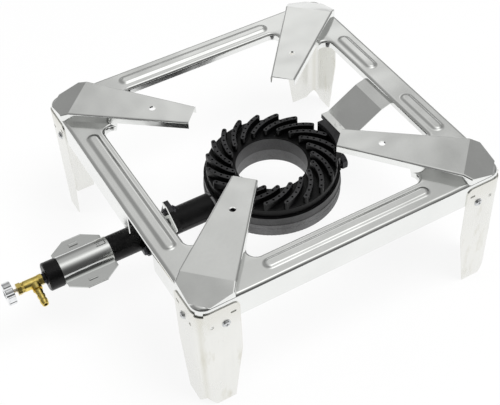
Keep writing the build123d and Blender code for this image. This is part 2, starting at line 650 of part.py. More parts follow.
with BuildPart() as flange_nuts:
    for y in (flange_bolt_y, -flange_bolt_y):
        add(Pos(flange_x + flange_t, y, pipe_z) * Rot(0, 90, 0) * hex_nut(m6_r + thread_gap, 10.0, 5.0))
flange_nuts.part.label = "flange_nuts"
export_step(flange_nuts.part, "parts/flange_nuts.step")


# ---------------------------------------------------------------- air shutter
def shutter_half(sign):
    """Half shell with flat octagonal flanges; sign is +1 above and -1 below the seam."""
    inner = tube_r + shutter_gap
    with BuildPart() as shell:
        add(rod(shutter_a, shutter_b, inner + shutter_t))
        with BuildSketch(Plane.XY.offset(pipe_z)):
            with Locations(((shutter_a + shutter_b) / 2, 0)):
                Rectangle(shutter_b - shutter_a + 2, 4 * tube_r)
        extrude(amount=sign * 2 * tube_r, mode=Mode.INTERSECT)
        with BuildSketch(Plane.XY.offset(pipe_z)):
            with BuildLine():
                a, b, c = shutter_a, shutter_b, shutter_corner_l
                Polyline((a, -shutter_corner_w), (a + c, -shutter_w), (b - c, -shutter_w),
                         (b, -shutter_corner_w), (b, shutter_corner_w), (b - c, shutter_w),
                         (a + c, shutter_w), (a, shutter_corner_w), close=True)
            make_face()
        extrude(amount=sign * shutter_t)
        add(rod(shutter_a - 1, shutter_b + 1, inner), mode=Mode.SUBTRACT)
    return shell.part


with BuildPart() as shutter_upper:
    add(shutter_half(1))
    # slots for the clips of the lower half
    with BuildSketch(Plane.XY.offset(pipe_z)):
        with Locations((clip_x, clip_y), (clip_x, -clip_y)):
            Rectangle(clip_l + 0.4, shutter_t + 0.4)
    extrude(amount=shutter_t, mode=Mode.SUBTRACT)
    # spring tongue on the crest, cut free on three sides
    with BuildSketch(Plane.XY.offset(pipe_z + tube_r - 2)):
        with Locations((spring_x, 0)):
            Rectangle(spring_l, spring_w)
            with Locations((-0.8, 0)):
                Rectangle(spring_l, spring_w - 1.6, mode=Mode.SUBTRACT)
    extrude(amount=6, mode=Mode.SUBTRACT)
shutter_upper.part.label = "shutter_upper"
export_step(shutter_upper.part, "parts/shutter_upper.step")

with BuildPart() as shutter_lower:
    add(shutter_half(-1))
    for sign in (1, -1):
        with Locations((clip_x, sign * clip_y, pipe_z - shutter_t)):
            Box(clip_l, shutter_t, 3 * shutter_t, align=(Align.CENTER, Align.CENTER, Align.MIN))
        with Locations((clip_x, sign * (clip_y + shutter_t / 2), pipe_z + shutter_t)):
            Box(clip_l, clip_fold, shutter_t, align=(Align.CENTER, Align.MAX if sign > 0 else Align.MIN,
                                                     Align.MIN))
shutter_lower.part.label = "shutter_lower"
export_step(shutter_lower.part, "parts/shutter_lower.step")


# ---------------------------------------------------------------- jet and valve
with BuildPart() as jet_holder:
    add(rod(holder_a, end_x, holder_r))
    chamfer(jet_holder.edges().filter_by(GeomType.CIRCLE), 0.4)
    add(rod(end_x, end_x + spigot_in, spigot_r))
    add(rod(holder_a - socket_l, holder_a, socket_r))
    add(rod(holder_a - socket_l, end_x + spigot_in, gas_r), mode=Mode.SUBTRACT)
    add(rod(end_x + spigot_in - 3.0, end_x + spigot_in, m5_r + thread_gap), mode=Mode.SUBTRACT)
jet_holder.part.label = "jet_holder"
export_step(jet_holder.part, "parts/jet_holder.step")

with BuildPart() as gas_jet:
    tip = end_x + spigot_in
    add(rod(tip - 2.6, tip, m5_r))
    with BuildSketch(face_x(tip)):
        RegularPolygon(jet_af / 2, 6, major_radius=False)
    extrude(amount=2.6)
    add(rod(tip + 2.6, tip + jet_l, 2.4))
    add(rod(tip - 2.6, tip + jet_l - 1.5, gas_r), mode=Mode.SUBTRACT)
    add(rod(tip, tip + jet_l, jet_hole_r), mode=Mode.SUBTRACT)
gas_jet.part.label = "gas_jet"
export_step(gas_jet.part, "parts/gas_jet.step")

barb_way = Plane(origin=(barb_x, 0, pipe_z), x_dir=(1, 0, 0),
                 z_dir=(0, -cos(radians(barb_dip)), -sin(radians(barb_dip))))
barb_section = Plane(origin=barb_way.origin, x_dir=(1, 0, 0),
                     z_dir=barb_way.z_dir.cross(Vector(1, 0, 0)) * -1)

with BuildPart() as valve_body:
    with BuildSketch(face_x(valve_hex_x)):
        RegularPolygon(valve_af / 2, 6, major_radius=False)
    extrude(amount=holder_a - valve_hex_x)
    add(rod(valve_hex_x, valve_neck_x, valve_r))
    add(rod(valve_neck_x, valve_end_x, valve_neck_r))
    with BuildSketch(barb_way):
        Circle(valve_r - 0.8)
    extrude(amount=barb_root)
    add(rod(holder_a - socket_l, holder_a, socket_r + thread_gap), mode=Mode.SUBTRACT)
    add(rod(valve_end_x, chamber_x, chamber_r), mode=Mode.SUBTRACT)
    add(rod(chamber_x, holder_a, gas_r), mode=Mode.SUBTRACT)
    with BuildSketch(barb_way):
        Circle(barb_bore_r)
    extrude(amount=barb_root + 1, mode=Mode.SUBTRACT)
    with BuildSketch(barb_way.offset(barb_root - barb_screw_in)):
        Circle(barb_screw_r + thread_gap)
    extrude(amount=barb_screw_in + 1, mode=Mode.SUBTRACT)
valve_body.part.label = "valve_body"
export_step(valve_body.part, "parts/valve_body.step")

with BuildPart() as hose_barb:
    with BuildSketch(barb_section):
        with BuildLine():
            foot = barb_root + 4.0
            step = (barb_tip - foot) / barb_count
            points = [(barb_bore_r, barb_root - barb_screw_in),
                      (barb_screw_r, barb_root - barb_screw_in), (barb_screw_r, barb_root),
                      (barb_r + 1.2, barb_root), (barb_r + 1.2, foot - 1.4),
                      (barb_r - 1.0, foot - 1.4), (barb_r - 1.0, foot)]
            for k in range(barb_count):
                points += [(barb_r, foot + step * k), (barb_r, foot + step * k + barb_land),
                           (barb_r - 1.0, foot + step * (k + 1))]
            points += [(barb_bore_r, barb_tip)]
            Polyline(*points, close=True)
        make_face()
    revolve(axis=Axis(barb_way.origin, barb_way.z_dir))
hose_barb.part.label = "hose_barb"
export_step(hose_barb.part, "parts/hose_barb.step")

with BuildPart() as gland_nut:
    with BuildSketch(face_x(gland_x)):
        RegularPolygon(gland_af / 2, 6, major_radius=False)
    extrude(amount=gland_hex_l)
    add(rod(gland_x + gland_hex_l, valve_neck_x, gland_r))
    add(rod(valve_end_x - packing_t, valve_neck_x, valve_neck_r + thread_gap), mode=Mode.SUBTRACT)
    add(rod(gland_x, valve_neck_x, spindle_r + bolt_gap), mode=Mode.SUBTRACT)
gland_nut.part.label = "gland_nut"
export_step(gland_nut.part, "parts/gland_nut.step")

with BuildPart() as packing_ring:
    add(rod(valve_end_x - packing_t, valve_end_x, valve_neck_r))
    add(rod(valve_end_x - packing_t, valve_end_x, spindle_r + spindle_fit), mode=Mode.SUBTRACT)
packing_ring.part.label = "packing_ring"
export_step(packing_ring.part, "parts/packing_ring.step")

with BuildPart() as spindle:
    add(rod(knob_a + knob_web, chamber_x - 1.2, spindle_r))
    with BuildSketch(face_x(chamber_x - 1.2)):
        Circle(spindle_r)
    extrude(amount=3.6, taper=22)
    add(rod(collar_a, collar_b, chamber_r - spindle_fit))
spindle.part.label = "spindle"
export_step(spindle.part, "parts/spindle.step")

with BuildPart() as knob:
    add(rod(knob_a, knob_b, knob_r))
    fillet(knob.edges().filter_by(GeomType.CIRCLE), 1.4)
    with BuildSketch(face_x(knob_a)):
        with PolarLocations(knob_r + 2.8, 10):
            Circle(3.8)
    extrude(amount=knob_b - knob_a, mode=Mode.SUBTRACT)
    add(rod(knob_a + knob_web, knob_b, spindle_r + thread_gap), mode=Mode.SUBTRACT)
    add(rod(knob_a, knob_a + 1.0, 5.0), mode=Mode.SUBTRACT)
    add(rod(knob_a, knob_b, m3_r + thread_gap), mode=Mode.SUBTRACT)
knob.part.label = "knob"
export_step(knob.part, "parts/knob.step")

with BuildPart() as knob_screw:
    add(Pos(knob_a + 1.0, 0, pipe_z) * Rot(0, -90, 0) * pan_screw(m3_r, knob_web - 1.0))
knob_screw.part.label = "knob_screw"
export_step(knob_screw.part, "parts/knob_screw.step")
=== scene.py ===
# %% [markdown]
# Stock pot range
#
# This notebook dresses a low square gas stand: a pressed steel top on four angle legs,
# a black cast ring burner, a mixing tube with an air shutter, and a small brass valve
# with a chrome knob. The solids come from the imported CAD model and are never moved.
# Here they get their finishes, and the small details that a CAD model leaves out are
# modelled: threads, nut collars, casting seams, grips. Lengths are in metres.

# %% load the frame
import json
import math

import bmesh
import bpy
from mathutils import Matrix, Vector


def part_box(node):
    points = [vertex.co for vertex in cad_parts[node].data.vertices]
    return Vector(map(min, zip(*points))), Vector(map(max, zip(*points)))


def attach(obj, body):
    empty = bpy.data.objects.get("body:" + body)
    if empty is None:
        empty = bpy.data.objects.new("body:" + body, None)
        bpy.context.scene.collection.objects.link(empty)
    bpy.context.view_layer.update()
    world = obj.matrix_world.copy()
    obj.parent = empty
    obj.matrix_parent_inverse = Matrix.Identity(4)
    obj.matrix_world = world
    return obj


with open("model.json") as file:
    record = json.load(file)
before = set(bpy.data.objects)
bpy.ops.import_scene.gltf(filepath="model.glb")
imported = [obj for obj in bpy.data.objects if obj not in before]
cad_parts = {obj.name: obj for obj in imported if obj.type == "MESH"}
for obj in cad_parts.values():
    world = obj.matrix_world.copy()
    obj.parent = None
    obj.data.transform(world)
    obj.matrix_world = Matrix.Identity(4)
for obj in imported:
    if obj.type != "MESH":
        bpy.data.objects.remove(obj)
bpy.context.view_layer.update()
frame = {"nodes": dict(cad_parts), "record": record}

nodes = frame["nodes"]

# %% [markdown]
# Places. A detail has to sit on the solid that carries it. Its place could be typed in
# as a number, but then it would be left behind when the CAD model changes. So it is
# read from the solids' boxes wherever these tell it, and the rest is worked out from a
# few sizes of the stand, each of which is named once.

# %% places
MM = 0.001


def middle(name):
    """The middle of a solid's box."""
    low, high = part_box(name)
    return (low + high) / 2


PIPE_Z = middle("mixer_tube").z          # height of the gas line's axis
BURNER_X = middle("burner_crown").x      # the burner's axis stands a little off the centre
TOP_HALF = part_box("top_frame")[1].x      # half the side of the square top
ARM_TOP_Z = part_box("top_frame")[1].z     # where a pot stands
SHEET = 1.2 * MM                         # thickness of the pressed top
print("gas line at", round(PIPE_Z, 4), "and burner at", round(BURNER_X, 4))

# %% [markdown]
# The camera. A product picture like this is taken from above and to one side, with a
# long lens, so that parallel edges stay nearly parallel. The place and the turn below
# were worked out from the corners of the square top. Turning angles would say the same,
# but three unit vectors say it directly: where the picture's right, down and viewing
# directions point in the room.

# %% camera
PHOTO_WIDTH = 500
FOCAL_PIXELS = 1044.26
SENSOR = 36.0
NEAR_LIMIT = 0.05
EYE = Vector((-0.453704, -0.810877, 1.017797))
RIGHT = Vector((0.865322, -0.499912, -0.036128))
DOWN = Vector((-0.382332, -0.611750, -0.692520))
AHEAD = Vector((0.324098, 0.613067, -0.720493))

camera_data = bpy.data.cameras.new("camera")
camera_data.sensor_width = SENSOR
camera_data.lens = SENSOR * FOCAL_PIXELS / PHOTO_WIDTH
camera_data.clip_start = NEAR_LIMIT
camera = bpy.data.objects.new("camera", camera_data)
bpy.context.scene.collection.objects.link(camera)
turn = Matrix((RIGHT, -DOWN, -AHEAD)).transposed()
camera.matrix_world = Matrix.Translation(EYE) @ turn.to_4x4()
bpy.context.scene.camera = camera
print("lens", round(camera_data.lens, 2), "mm")

# %% [markdown]
# Shader maths in Python. A material is a graph of nodes, which is slow to write out
# node by node. The class Level wraps one socket of that graph and overloads plus,
# minus, times and the two comparisons, so that a mask can be written as an ordinary
# expression. For 1 - mask Python calls the reflected form, so that one is here too.

# %% values in a shader
class Level:
    """One value of a shader graph, usable in sums and products."""

    def __init__(self, finish, socket):
        self.finish, self.socket = finish, socket

    def __add__(self, other):
        return self.finish.maths("ADD", self, other)

    def __sub__(self, other):
        return self.finish.maths("SUBTRACT", self, other)

    def __rsub__(self, other):
        return self.finish.maths("SUBTRACT", other, self)

    def __mul__(self, other):
        return self.finish.maths("MULTIPLY", self, other)

    def __gt__(self, other):
        return self.finish.maths("GREATER_THAN", self, other)

    def __lt__(self, other):
        return self.finish.maths("LESS_THAN", self, other)

    __radd__, __rmul__ = __add__, __mul__


print("values can be added, multiplied and compared")

# %% [markdown]
# One material at a time. The class Finish holds the graph of one material. Its method
# node adds any node: the settings are set first, because some of them change which
# sockets the node has, and then each socket gets a number, a colour or a link. The
# other methods are short names for the nodes that every finish here needs: a
# coordinate, a noise, a ramp between two numbers or two colours, a mix and a bump. A
# noise lies between 0 and 1, so the function swing moves it to change a value both
# ways.

# %% materials
class Finish:
    """A material with its shader, and one method to add nodes to it."""

    def __init__(self, name, tree=None):
        if tree is None:
            self.material = bpy.data.materials.new(name)
            self.material.use_nodes = True
            tree = self.material.node_tree
        self.tree = tree
        tree.nodes.clear()

    def node(self, kind, settings=None, inputs=None, output=0):
        """Add a node and return one of its outputs; the last node of a graph has none."""
        made = self.tree.nodes.new("ShaderNode" + kind)
        for name, value in (settings or {}).items():
            if name == "stops":
                for stop, (place, shade) in zip(made.color_ramp.elements, value):
                    stop.position = place
                    stop.color = (*shade, 1)
            else:
                setattr(made, name, value)
        for name, value in (inputs or {}).items():
            if isinstance(value, Level):
                self.tree.links.new(value.socket, made.inputs[name])
            else:
                made.inputs[name].default_value = value
        return Level(self, made.outputs[output]) if made.outputs else None

    def maths(self, operation, first, second=0.0):
        return self.node("Math", {"operation": operation}, {0: first, 1: second})

    def axis(self, letter):
        """One coordinate of a point on the object, in metres."""
        spot = self.node("TexCoord", output="Object")
        return self.node("SeparateXYZ", None, {"Vector": spot}, output=letter)

    def grain(self, size, detail=3.0, stretch=(1, 1, 1), rough=0.5):
        """Noise from 0 to 1 with features of about size metres."""
        spot = self.node("TexCoord", output="Object")
        spot = self.node("Mapping", None, {"Vector": spot, "Scale": stretch})
        return self.node("TexNoise", None, {"Vector": spot, "Scale": 1 / size,
                                            "Detail": detail, "Roughness": rough})

    def fade(self, value, start, stop, first, last, curve="LINEAR"):
        """The number first where value is start, and last where it is stop."""
        return self.node("MapRange", {"interpolation_type": curve},
                         {"Value": value, "From Min": start, "From Max": stop,
                          "To Min": first, "To Max": last})

    def shades(self, level, low, high, start, stop):
        """A ramp from the colour low to the colour high as level goes from start to stop."""
        return self.node("ValToRGB", {"stops": [(start, low), (stop, high)]}, {"Fac": level})

    def blend(self, mask, low, high):
        """The colour low where mask is 0 and high where it is 1."""
        return self.node("Mix", {"data_type": "RGBA"}, {0: mask, 6: low, 7: high}, output=2)

    def bump(self, height, depth, strength):
        return self.node("Bump", None, {"Height": height, "Distance": depth,
                                        "Strength": strength})

    def surface(self, **sockets):
        """Close the graph with the shader; Base_Color stands for its socket Base Color."""
        inputs = {name.replace("_", " "): value for name, value in sockets.items()}
        shader = self.node("BsdfPrincipled", None, inputs)
        self.node("OutputMaterial", None, {"Surface": shader})
        return self.material


NOISE_MIDDLE, NOISE_ENDS = 0.5, (0.3, 0.7)     # a noise seldom leaves its ends


def swing(noise, amount):
    """A noise moved to swing round 0, by this amount from end to end."""
    return (noise - NOISE_MIDDLE) * amount


print("materials can be written as expressions")

# %% [markdown]
# The floor. The stand is pictured on white paper. A plain white floor would come out
# light grey here and there, and an invisible one would take the shadow away. So this
# floor is a mix: most of it is plain white light for the camera and for reflections,
# and the rest is real paper, which keeps the faint shadow.

# %% floor
FLOOR_SIZE = 12.0
FLOOR_DROP = 0.4 * MM     # below the feet, so that the two don't flicker
FLOOR_WHITE = (0.90, 0.90, 0.90, 1)
WHITE_SHARE = 0.89       # the rest is paper

floor_mesh = bpy.data.meshes.new("floor")
build = bmesh.new()
bmesh.ops.create_grid(build, x_segments=1, y_segments=1, size=FLOOR_SIZE / 2)
bmesh.ops.translate(build, verts=build.verts, vec=(0, 0, -FLOOR_DROP))
build.to_mesh(floor_mesh)
build.free()
floor = bpy.data.objects.new("floor", floor_mesh)
bpy.context.scene.collection.objects.link(floor)

floor_finish = Finish("floor_white")
paper = floor_finish.node("BsdfDiffuse", None, {"Color": FLOOR_WHITE})
white = floor_finish.node("Emission", None, {"Color": (1, 1, 1, 1), "Strength": 1.0})
seen = (floor_finish.node("LightPath", output="Is Camera Ray")
        + floor_finish.node("LightPath", output="Is Glossy Ray")
        + floor_finish.node("LightPath", output="Is Transmission Ray"))
mixed = floor_finish.node("MixShader", None, {0: seen * WHITE_SHARE, 1: paper, 2: white})
floor_finish.node("OutputMaterial", None, {"Surface": mixed})
floor_mesh.materials.append(floor_finish.material)
print("white floor")

# %% [markdown]
# The sky. Bright metal shows its surroundings more than its own colour, so the room
# matters as much as the finish. It could be built from panels, but a world shader does
# it with less: a dim room with six soft pale screens. The flat top mirrors the two
# behind the object towards the camera: the low, small one makes the rear arms bright,
# the high, wide one the front. Two overhead, one wide and one small, give the bends
# their bright rims, one to the left lights the sides of the arms, and one to the right
# is mirrored by the top when it is seen from behind. The room in front is dark, so each
# bend of the sheet sweeps from pale to dark, which draws its lines.

# %% sky
ROOM_FRONT, ROOM_BACK = 0.09, 0.30
ROOM_EDGES = (-0.5, 0.3)     # along Y, where the room goes from its front to its back
SKY_TINT = (1.0, 1.0, 0.99, 1)
SCREENS = {                  # where it is, half its width in degrees, how bright it is
    "low": ((0.427, 0.711, 0.559), 9.0, 0.52),
    "high": ((0.211, 0.579, 0.788), 20.0, 0.28),
    "top": ((0.20, -0.15, 0.968), 24.0, 0.80),
    "rim": ((0.32, -0.06, 0.945), 15.0, 0.50),
    "left": ((-0.613, -0.324, 0.720), 11.0, 0.32),
    "right": ((0.720, -0.560, 0.410), 17.0, 0.40),
}

bpy.context.scene.view_settings.view_transform = "Standard"
world = bpy.data.worlds.new("sky")
bpy.context.scene.world = world
world.use_nodes = True
sky = Finish("sky", world.node_tree)
way = sky.node("TexCoord", output="Generated")


def screen(centre, half_width, brightness):
    """A soft round patch of light, faded to a third at half_width degrees."""
    facing = sky.node("VectorMath", {"operation": "DOT_PRODUCT"}, {0: way, 1: centre},
                      output="Value")
    spread = 1 - math.cos(math.radians(half_width))
    return sky.maths("EXPONENT", (facing - 1.0) * (1 / spread)) * brightness


depth = sky.node("SeparateXYZ", None, {"Vector": way}, output="Y")
light = sky.fade(depth, *ROOM_EDGES, ROOM_FRONT, ROOM_BACK, "SMOOTHSTEP")
for centre, half_width, brightness in SCREENS.values():
    light = light + screen(centre, half_width, brightness)
shown = sky.node("LightPath", output="Is Camera Ray")     # behind the object it is white
glow = sky.node("Background", None, {"Color": SKY_TINT, "Strength": light * (1 - shown) + shown})
sky.node("OutputWorld", None, {"Surface": glow})
print(len(SCREENS), "screens in a dim room")

# %% [markdown]
# Two lamps. A sky of soft screens gives hardly any shadow, so a wide lamp in front and
# above draws the faint one below the stand, and a weaker one behind fills it. Small
# lamps would draw hard edges. The steel would mirror each lamp as a burnt-out disc, so
# neither shows in reflections, and the screens of the sky are left to do that.

# %% lamps
STAND_MIDDLE = Vector((0, 0, 0.1))


def lamp(name, spot, width, watts):
    """A round lamp of that width, turned to the stand."""
    data = bpy.data.lights.new(name, "AREA")
    data.shape, data.size, data.energy = "DISK", width, watts
    made = bpy.data.objects.new(name, data)
    bpy.context.scene.collection.objects.link(made)
    made.location = spot
    made.rotation_euler = (STAND_MIDDLE - Vector(spot)).to_track_quat("-Z", "Y").to_euler()
    made.visible_glossy = False


lamp("key", spot=(0.55, -0.75, 2.4), width=1.3, watts=46)
lamp("fill", spot=(-1.7, 0.9, 1.3), width=1.5, watts=14)
print("two lamps")

# %% [markdown]
# Stains and painted shade on the legs. A used leg is stained in soft spots. Its fold and
# the strip right under the rail are darkened in the stain's colour, which is painted shade.
# A painted picture could say where, but the places follow from the shape: the fold of
# each leg lies where x and y are equally far from the middle, and the rail's height is
# known. So both masks are worked out from the point's own coordinates.

# %% leg stains and painted shade
FOLD_NEAR, FOLD_FAR, FOLD_SHADE = 1.0 * MM, 6.5 * MM, 0.55     # painted shade up to near, none from far
RAIL_LOW, RAIL_HIGH, RAIL_SHADE = 128 * MM, 158 * MM, 0.50     # no painted shade up to low, full from high
SPOT_SIZE, SPOT_FROM, SPOT_GAIN = 16 * MM, 0.56, 3.0


def stains_and_painted_shade(steel, tint, cloud, stain):
    """The tint with stains in spots, and painted shade along the legs' folds and under the rail."""
    spots = steel.grain(SPOT_SIZE, detail=5.0, stretch=(1, 1, 0.3), rough=0.6)
    tint = steel.blend((spots > SPOT_FROM) * (spots - SPOT_FROM) * SPOT_GAIN, tint, stain)
    out_x, out_y = [steel.maths("ABSOLUTE", steel.axis(letter)) for letter in "XY"]
    from_fold = steel.maths("ABSOLUTE", out_x - out_y)
    # painted shade in the stain's colour: darker along the fold and towards the rail
    fold_shade = steel.fade(from_fold, FOLD_NEAR, FOLD_FAR, FOLD_SHADE, 0.0)
    rail_shade = steel.fade(steel.axis("Z"), RAIL_LOW, RAIL_HIGH, 0.0, RAIL_SHADE)
    return steel.blend((fold_shade + rail_shade) * cloud, tint, stain)


# the darkening in the folds and under the rail is painted shade
print("dirt in the folds and under the rail")

# %% [markdown]
# Stainless sheet. The real top is a bright pressed sheet: almost a mirror, softened by
# a fine haze and by faint wipe marks. A pure mirror would look like glass, and a plain
# rough metal like aluminium. So the roughness varies slowly across the sheet, and a
# very shallow, wide bump bends the reflections as thin pressed sheet does.

# %% stainless steel
CLOUD_SIZE, WIPE_SIZE, WAVE_SIZE = 60 * MM, 4 * MM, 60 * MM
CLOUD_SHARE, WIPE_SHARE = 0.7, 0.3     # their parts in the colour
WIPE_HAZE = 0.6                        # the wipe marks' haze, as a share of the cloud's
WIPE_DEPTH, SHEET_BUMP = 0.02 * MM, 0.35
DULL = 0.92                            # the shade of a dull place, as a share of the sheet's
ALL_WAYS, UPRIGHT, LENGTHWISE = (1, 1, 1), (1, 1, 0.05), (0.05, 1, 1)     # how marks run


def stainless(name, shade, haze, spread, marks, sway=0.0015, stain=None):
    """Bright sheet: haze is its roughness, spread how much that varies, sway its waves, stain the
    colour of its stains and of its painted shade.
    """
    steel = Finish(name)
    cloud = steel.grain(CLOUD_SIZE, detail=4.0)
    wipe = steel.grain(WIPE_SIZE, detail=2.0, stretch=marks)
    waves = steel.grain(WAVE_SIZE, detail=1.0)
    dull = tuple(part * DULL for part in shade)
    tint = steel.shades(cloud * CLOUD_SHARE + wipe * WIPE_SHARE, dull, shade, *NOISE_ENDS)
    # stains in spots, and painted shade in the folds and under the rail
    if stain:
        tint = stains_and_painted_shade(steel, tint, cloud, stain)
    rough = haze + swing(cloud, spread) + swing(wipe, spread * WIPE_HAZE)
    bent = steel.bump(waves * sway + wipe * WIPE_DEPTH, 1.0, SHEET_BUMP)     # heights in metres
    return steel.surface(Base_Color=tint, Metallic=1.0, Roughness=rough, Normal=bent)


top_steel = stainless("top_steel", (0.90, 0.91, 0.895), haze=0.16, spread=0.09,
                      marks=ALL_WAYS, sway=0.0070)
# the legs' stain colour is also their painted shade in the folds and under the rail
leg_steel = stainless("leg_steel", (0.90, 0.90, 0.87), haze=0.28, spread=0.12,
                      marks=UPRIGHT, stain=(0.62, 0.60, 0.50, 1))
shutter_steel = stainless("shutter_steel", (0.68, 0.69, 0.68), haze=0.12, spread=0.06,
                          marks=LENGTHWISE, sway=0.0016)
print("three steels")

# %% [markdown]
# Where the castings are pale. The deck of the burner is sooty black, the tops of its
# ridges are rubbed, and the walls of the ring are a lighter grey. Three plain materials
# would need each casting cut up. Instead the height and the distance from the burner's
# axis tell which is which, so one material serves a whole casting.

# %% zones of the castings
RIDGE_TOP_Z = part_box("burner_crown")[1].z
DECK_Z = RIDGE_TOP_Z - 9.4 * MM
STEP_Z = DECK_Z - 11.6 * MM               # the pale outer wall ends here
RUBBED_Z = RIDGE_TOP_Z - 0.6 * MM         # above this the ridges are rubbed
DECK_EDGE = 1.2 * MM                      # the hole's wall is black this far down
RING_R, HOLE_R = 88.5 * MM, 45.5 * MM     # both a little more than the walls they cover


def ring_wall(iron):
    """1 on the outer and the inner wall of the ring burner, 0 elsewhere."""
    x, y, z = iron.axis("X") - BURNER_X, iron.axis("Y"), iron.axis("Z")
    reach = x * x + y * y
    outer = (reach < RING_R ** 2) * (z < STEP_Z)
    inner = (reach < HOLE_R ** 2) * (z < DECK_Z - DECK_EDGE)
    return outer + inner - outer * inner


print("deck at", round(DECK_Z, 4), "and step at", round(STEP_Z, 4))

# %% [markdown]
# Cast iron. The burner is sand cast and blackened: a fine pebbly skin with a soft
# sheen. Smooth black would look like plastic, and a photograph of iron would show where
# its tiles meet. So two noises make the skin, pebbles of a millimetre and lumps of
# several, and a third, wider one makes the rubbed and the sooty places drift.

# %% cast iron
PEBBLE_SIZE, LUMP_SIZE, RUB_SIZE = 1.1 * MM, 7 * MM, 30 * MM
PEBBLE_SHARE, RUB_SHARE = 0.45, 0.55          # their parts in the colour
WALL_HAZE, PEBBLE_HAZE, RUB_HAZE = 0.12, 0.25, 0.20
PEBBLE_HEIGHT, SKIN_DEPTH, SKIN_BUMP = 0.6, 0.7 * MM, 0.6
SOOT = (0.001, 0.001, 0.001), (0.006, 0.006, 0.0065), 0.35, 0.68      # dark, light, from, to
RUBBED = (0.012, 0.012, 0.013), (0.050, 0.050, 0.052), 0.35, 0.66
SHADED, COOLER, BARE_ENDS = 0.42, 1.02, (0.33, 0.66)    # dark flecks and blue of a pale wall


def cast_iron(name, sheen, paleness):
    """Black iron whose ring walls are as pale as paleness says."""
    iron = Finish(name)
    pebble = iron.grain(PEBBLE_SIZE)
    lumps = iron.grain(LUMP_SIZE)
    rub = iron.grain(RUB_SIZE, detail=4.0)
    speck = pebble * PEBBLE_SHARE + rub * RUB_SHARE
    black, worn = iron.shades(speck, *SOOT), iron.shades(speck, *RUBBED)
    pale = iron.shades(speck, (paleness * SHADED,) * 3,
                       (paleness, paleness, paleness * COOLER), *BARE_ENDS)
    wall = ring_wall(iron)
    tint = iron.blend(iron.axis("Z") > RUBBED_Z, iron.blend(wall, black, pale), worn)
    rough = sheen + wall * WALL_HAZE + swing(pebble, PEBBLE_HAZE) + swing(rub, RUB_HAZE)
    skin = iron.bump(pebble * PEBBLE_HEIGHT + lumps, SKIN_DEPTH, SKIN_BUMP)
    return iron.surface(Base_Color=tint, Metallic=0.30, Roughness=rough, Normal=skin,
                        Specular_IOR_Level=0.30)


black_iron = cast_iron("cast_black", sheen=0.36, paleness=0.115)
grey_iron = cast_iron("cast_grey", sheen=0.42, paleness=0.250)
print("two castings")

# %% [markdown]
# Small metals. Brass, bright zinc, dark oxide and chrome differ in colour and in how
# sharp their reflections are, so one function makes all four. Turned parts carry fine
# rings round their axis. They could be modelled, but they are finer than a pixel, so a
# noise that is fine along the gas line and stretched across it stands for them.

# %% small metals
RING_PITCH, RING_HAZE, RING_BUMP = 0.6 * MM, 0.08, 0.5
STAIN_HAZE, STAIN_ENDS = 0.16, (0.34, 0.60)


def turned(name, shade, shadow, haze, depth=0.12 * MM, stain_size=6 * MM):
    """Turned metal: shadow is its colour where it is stained, depth that of its rings."""
    metal = Finish(name)
    rings = metal.grain(RING_PITCH, detail=2.0, stretch=(1, 0.02, 0.02))
    stain = metal.grain(stain_size, detail=4.0, rough=0.6)
    tint = metal.shades(stain, shadow, shade, *STAIN_ENDS)
    rough = haze + swing(stain, STAIN_HAZE) + swing(rings, RING_HAZE)
    return metal.surface(Base_Color=tint, Metallic=1.0, Roughness=rough,
                         Normal=metal.bump(rings, depth, RING_BUMP))


brass = turned("brass", (0.88, 0.70, 0.22), shadow=(0.56, 0.41, 0.10), haze=0.24,
               stain_size=4.5 * MM)
zinc = turned("zinc", (0.76, 0.77, 0.78), shadow=(0.56, 0.57, 0.58), haze=0.26)
dark_zinc = turned("dark_zinc", (0.060, 0.060, 0.065), shadow=(0.022, 0.022, 0.025), haze=0.36)
knob_chrome = turned("knob_chrome", (0.88, 0.89, 0.90), shadow=(0.76, 0.77, 0.78), haze=0.07,
                     depth=0.03 * MM)
print("brass, zinc, oxide and chrome")

# %% [markdown]
# Gasket and packing. The flange seals on a ring of grey pressed fibre and the spindle
# on a pale soft one. Both are dull all over, with a fleck as fine as their fibres. A
# flat colour would do from afar, but the fleck costs only one noise.

# %% fibre and packing
FIBRE_HAZE, FIBRE_SPREAD = 0.75, 0.2
FIBRE_DEPTH, FIBRE_BUMP = 0.4 * MM, 0.5


def fibre(name, light_fleck, dark_fleck, grain_size):
    """A dull fibre with light and dark flecks."""
    sheet = Finish(name)
    felt = sheet.grain(grain_size, detail=4.0)
    return sheet.surface(Base_Color=sheet.shades(felt, dark_fleck, light_fleck, *NOISE_ENDS),
                         Roughness=FIBRE_HAZE + swing(felt, FIBRE_SPREAD),
                         Normal=sheet.bump(felt, FIBRE_DEPTH, FIBRE_BUMP))


gasket_grey = fibre("gasket_grey", (0.20, 0.20, 0.20), (0.10, 0.10, 0.10), grain_size=0.8 * MM)
packing = fibre("packing", (0.82, 0.82, 0.80), (0.70, 0.70, 0.68), grain_size=1.0 * MM)
print("finishes:", len(bpy.data.materials))

# %% [markdown]
# Dressing the solids. The record that came with the solids names a slot for each of
# them, such as brass or leg_steel. A list of solids here would say the same a second
# time and could go wrong, so each solid simply gets the finish of its slot.

# %% dress the solids
finishes = {"top_steel": top_steel, "leg_steel": leg_steel, "shutter_steel": shutter_steel,
            "cast_black": black_iron, "cast_grey": grey_iron, "brass": brass, "zinc": zinc,
            "dark_zinc": dark_zinc, "knob_chrome": knob_chrome, "gasket_grey": gasket_grey,
            "packing": packing}
slot_of = {part["node"]: part["material_slot"] for part in frame["record"]["subparts"]}
for name, solid in nodes.items():
    solid.data.materials.clear()
    solid.data.materials.append(finishes[slot_of[name]])
print({name: slot_of[name] for name in sorted(nodes)})

